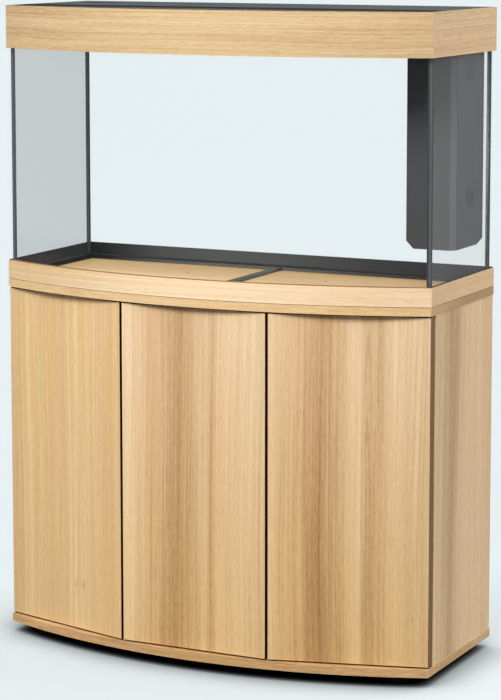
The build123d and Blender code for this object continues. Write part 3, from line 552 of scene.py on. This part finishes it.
# Impeller: a wheel moulded from pale plastic, inside the pump.
# It turns on the pump's fixed shaft and drives the water out through the nozzle.

clad(
    speckled_plastic(
        "impeller_plastic", paint(196, 196, 192), paint(214, 214, 210), roughness=0.35, fineness=900.0,
    ),
    "impeller",
)

# Heater: a frosted glass tube closed by a black moulded cap.
# It stands in the rear chamber of the filter, where the water flows past it.

material, shader, place = start_finish("heater_glass")
heater_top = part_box("heater")[1].z
cap = place.split()[Z].step(heater_top - 0.035, heater_top - 0.0335)
wear = place.cloud(300.0)
connect(shader, {
    "Base Color": cap.tint(wear.tint(paint(150, 158, 158), paint(170, 176, 175)), paint(34, 34, 36)),
    "Roughness": 0.2 + cap * 0.25 + wear * 0.1,
})
clad(material, "heater")

# Filter foam: four blocks of open blue foam cut by hot wire, stacked in the media basket.
# Their faces are a little uneven and their edges are soft.

BLOCK_COUNT = 4
BLOCK_HEIGHT = 0.080
CORNER_CUT = 0.010
SOFT_EDGE = 0.003
LONGEST_EDGE = 0.008
FOAM_INSET = 0.0008
FOAM_ROUGH = 0.0006
FOAM_WAVES = 240.0
low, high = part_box("filter_sponges")
block_gap = (high.z - low.z - BLOCK_COUNT * BLOCK_HEIGHT) / (BLOCK_COUNT - 1)
block_outline = [
    (low.x, low.y), (high.x - CORNER_CUT, low.y), (high.x, low.y + CORNER_CUT),
    (high.x, high.y), (low.x, high.y),
]
scene = bpy.context.scene


def stand(body, name, material):
    """Turns a bmesh into an object of the scene, in a material."""
    mesh = bpy.data.meshes.new(name)
    body.to_mesh(mesh)
    body.free()
    mesh.materials.append(material)
    piece = bpy.data.objects.new(name, mesh)
    scene.collection.objects.link(piece)
    return piece


material, shader, place = start_finish("foam")
pores = place.node("ShaderNodeTexVoronoi", {}, {"Vector": place, "Scale": 700.0})
patches = place.cloud(60.0, 3.0)
connect(shader, {
    "Base Color": (pores * 0.7 + patches * 0.5).tint(paint(30, 62, 104), paint(66, 112, 164)),
    "Roughness": 0.92 + pores * 0.06,
    "Normal": pores.relief(0.0006),
})
for index in range(BLOCK_COUNT):
    bottom = low.z + index * (BLOCK_HEIGHT + block_gap)
    body = bmesh.new()
    face = body.faces.new([body.verts.new((x, y, bottom)) for x, y in block_outline])
    grown = bmesh.ops.extrude_face_region(body, geom=[face])
    lifted = [item for item in grown["geom"] if isinstance(item, bmesh.types.BMVert)]
    bmesh.ops.translate(body, verts=lifted, vec=(0, 0, BLOCK_HEIGHT))
    bmesh.ops.recalc_face_normals(body, faces=body.faces)
    bmesh.ops.bevel(
        body, geom=body.edges[:] + body.verts[:], offset=SOFT_EDGE, segments=2, affect="EDGES", profile=0.5,
    )
    bmesh.ops.triangulate(body, faces=body.faces)
    for _ in range(3):
        long_edges = [end_edging_and_shade for end_edging_and_shade in body.edges if end_edging_and_shade.calc_length() > LONGEST_EDGE]
        bmesh.ops.subdivide_edges(body, edges=long_edges, cuts=1)
        bmesh.ops.triangulate(body, faces=body.faces)
    body.normal_update()
    for vertex in body.verts:
        shake = noise.noise(vertex.co * FOAM_WAVES + Vector((index * 7.0, 0.0, 0.0)))
        vertex.co -= vertex.normal * (FOAM_INSET + FOAM_ROUGH * shake)
    foam = stand(body, f"filter_foam_{index + 1}", material)
    foam.data.shade_smooth()
    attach(foam, "cabinet_and_tank")
    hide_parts("filter_sponges")

# Hood: black side and back walls on the glass with a curved front rail clipped between them,
# ledges and small rests for the lids, and a bridge that carries their hinge lugs.

black_plastic = black_moulding(
    "black_plastic", paint(38, 38, 39), paint(54, 54, 55), roughness=0.6, gloss=0.12,
)
clad(black_plastic, "hood_frame", "hood_front_rail", "flap_rests")

# Hood trims: thin oak-look strips bonded to the front and sides of the hood.
# The grain runs along them, and the front strip is bent round the bow.

hood_patches = [(0.46, 0.5, -0.15), (-0.46, 0.4, -0.12)]
hood_dye = (249, 255, 255)
clad(
    oak("oak_hood_front", X, Z, level=0.56, seed=63.0, bent=True, patches=hood_patches, dye=hood_dye),
    "hood_trim_front",
)
clad(oak("oak_hood_sides", Y, Z, level=0.5, seed=68.0), "hood_trim_left", "hood_trim_right")

# Light unit: a dark housing across the hood on the flanges, with two white tubes held in
# moulded sockets below it. The tubes have metal end caps.

clad(black_moulding("lamp_housing", paint(52, 52, 54), paint(66, 66, 68), roughness=0.5), "light_bar")
clad(black_moulding("socket_plastic", paint(58, 58, 60), paint(76, 76, 78), roughness=0.45), "tube_sockets")
material, shader, place = start_finish("lamp_tube")
tube_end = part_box("light_tubes")[1].x
tube_cap = place.split()[X].size().step(tube_end - 0.021, tube_end - 0.0205)
dust = place.cloud(40.0)
connect(shader, {
    "Base Color": tube_cap.tint(dust.tint(paint(236, 238, 236), paint(246, 246, 243)), paint(176, 176, 178)),
    "Metallic": tube_cap * 0.9,
    "Roughness": 0.22 + dust * 0.15,
})
clad(material, "light_tubes")

# Front flap: a thin black lid over the bow with a soft rim, open at two finger notches,
# and a rolled rear edge that turns on steel pins in the hood's lugs.

clad(black_plastic, "front_flap")
clad(black_moulding("flap_rim", paint(40, 40, 42), paint(56, 56, 58), roughness=0.6), "flap_rim")
clad(zinc_plate, "front_flap_pins")

# Rear lid: a flat lid of the hood's black plastic, with a sunk grip for the fingers.
# It is hinged on steel pins along the back wall.

clad(black_plastic, "rear_lid")
clad(zinc_plate, "rear_lid_pins")

# Studio: a pale floor that fades into a plain pale backdrop, a large soft lamp in front with two
# weaker ones to the right and behind, and a dome that is brighter overhead than at the horizon.

BACKDROP = paint(232, 241, 243)
BLACK = paint(0, 0, 0)
FLOOR_RADIUS = 6.0
FLOOR_BOUNCE = paint(96, 88, 76)
FLOOR_GLOW, FLOOR_LIT = 0.6, 0.27
CONTACT_REACH = 0.12
FADE_START, FADE_END = 0.1, 0.7
scene.view_settings.view_transform = "Standard"


def shown_rays(tree):
    """1 for rays that come from the camera, a gloss or a glass, and 0 for the light that bounces about."""
    camera, gloss, glass = (
        Wire(tree).node("ShaderNodeLightPath", {}, {}, out=f"Is {kind} Ray")
        for kind in ("Camera", "Glossy", "Transmission")
    )
    return camera.at_least(gloss).at_least(glass)


material, shader, place = start_finish("studio_floor")
x, y, _ = place.split()
beside_x = (x.size() - cad_high.x).at_least(0.0)
beside_y = (y.size() - cad_high.y).at_least(0.0)
distance = (beside_x ** 2.0 + beside_y ** 2.0) ** 0.5
# Ambient occlusion darkens the floor's glow and colour where the object stands close above it: a painted
# contact shadow, on top of the lamps' real shadows.
open_sky = place.node("ShaderNodeAmbientOcclusion", {"samples": 32}, {"Distance": CONTACT_REACH}, out="AO")
open_sky = open_sky.step(0.1, 1.0)
shown = shown_rays(place.tree)
connect(shader, {
    "Base Color": shown.tint(FLOOR_BOUNCE, (open_sky * FLOOR_LIT).tint(BLACK, BACKDROP)),
    "Emission Color": shown.tint(BLACK, (open_sky * FLOOR_GLOW).tint(BLACK, BACKDROP)),
    "Emission Strength": 1.0,
    "Roughness": 0.9,
    "Specular IOR Level": 0.0,
    "Alpha": 1 - distance.step(FADE_START, FADE_END),
})
body = bmesh.new()
bmesh.ops.create_circle(body, cap_ends=True, segments=96, radius=FLOOR_RADIUS)
stand(body, "studio_floor", material)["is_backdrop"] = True

HORIZON, ZENITH = [0.1, 0.1, 0.1, 1.0], [0.95, 0.95, 0.96, 1.0]
scene.world = bpy.data.worlds.new("studio")
scene.world.use_nodes = True
sky = scene.world.node_tree
aim = Wire(sky).node("ShaderNodeTexCoord", {}, {}, out="Generated")
dome = aim.split()[Z].step(-0.05, 0.9).tint(HORIZON, ZENITH)
connect(sky.nodes["Background"], {"Color": shown_rays(sky).tint(dome, BACKDROP), "Strength": 1.0})

# Each lamp: where it hangs, its width and height, and its power.
LAMPS = {
    "key": ((0.1, -3.4, 3.7), (2.4, 1.6), 202.0),
    "right_fill": ((3.8, 1.8, 2.4), (1.8, 1.8), 72.0),
    "back_fill": ((1.8, 3.0, 3.8), (2.4, 1.8), 80.0),
}
LIT_POINT = Vector((0.0, -0.1, 0.75))
for name, (location, lamp_size, power) in LAMPS.items():
    lamp = bpy.data.lights.new(name, "AREA")
    lamp.shape = "RECTANGLE"
    lamp.size, lamp.size_y = lamp_size
    lamp.energy = power
    holder = bpy.data.objects.new(name, lamp)
    scene.collection.objects.link(holder)
    holder.location = location
    holder.rotation_euler = (LIT_POINT - holder.location).to_track_quat("-Z", "Y").to_euler()

# Camera: a long lens a little above the hood, to the right of the front, and turned slightly down.
# Its frame is shifted down too, so that the uprights stay nearly parallel.

TURNED_DOWN, TURNED_LEFT = math.radians(7.1622), math.radians(26.1958)
camera = bpy.data.objects.new("camera", bpy.data.cameras.new("camera"))
scene.collection.objects.link(camera)
camera.location = (2.23439, -4.48580, 1.43996)
camera.rotation_euler = (math.pi / 2 - TURNED_DOWN, 0.0, TURNED_LEFT)
camera.data.lens = 131.30
camera.data.shift_x, camera.data.shift_y = 0.00015, -0.15
scene.camera = camera

low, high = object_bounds()
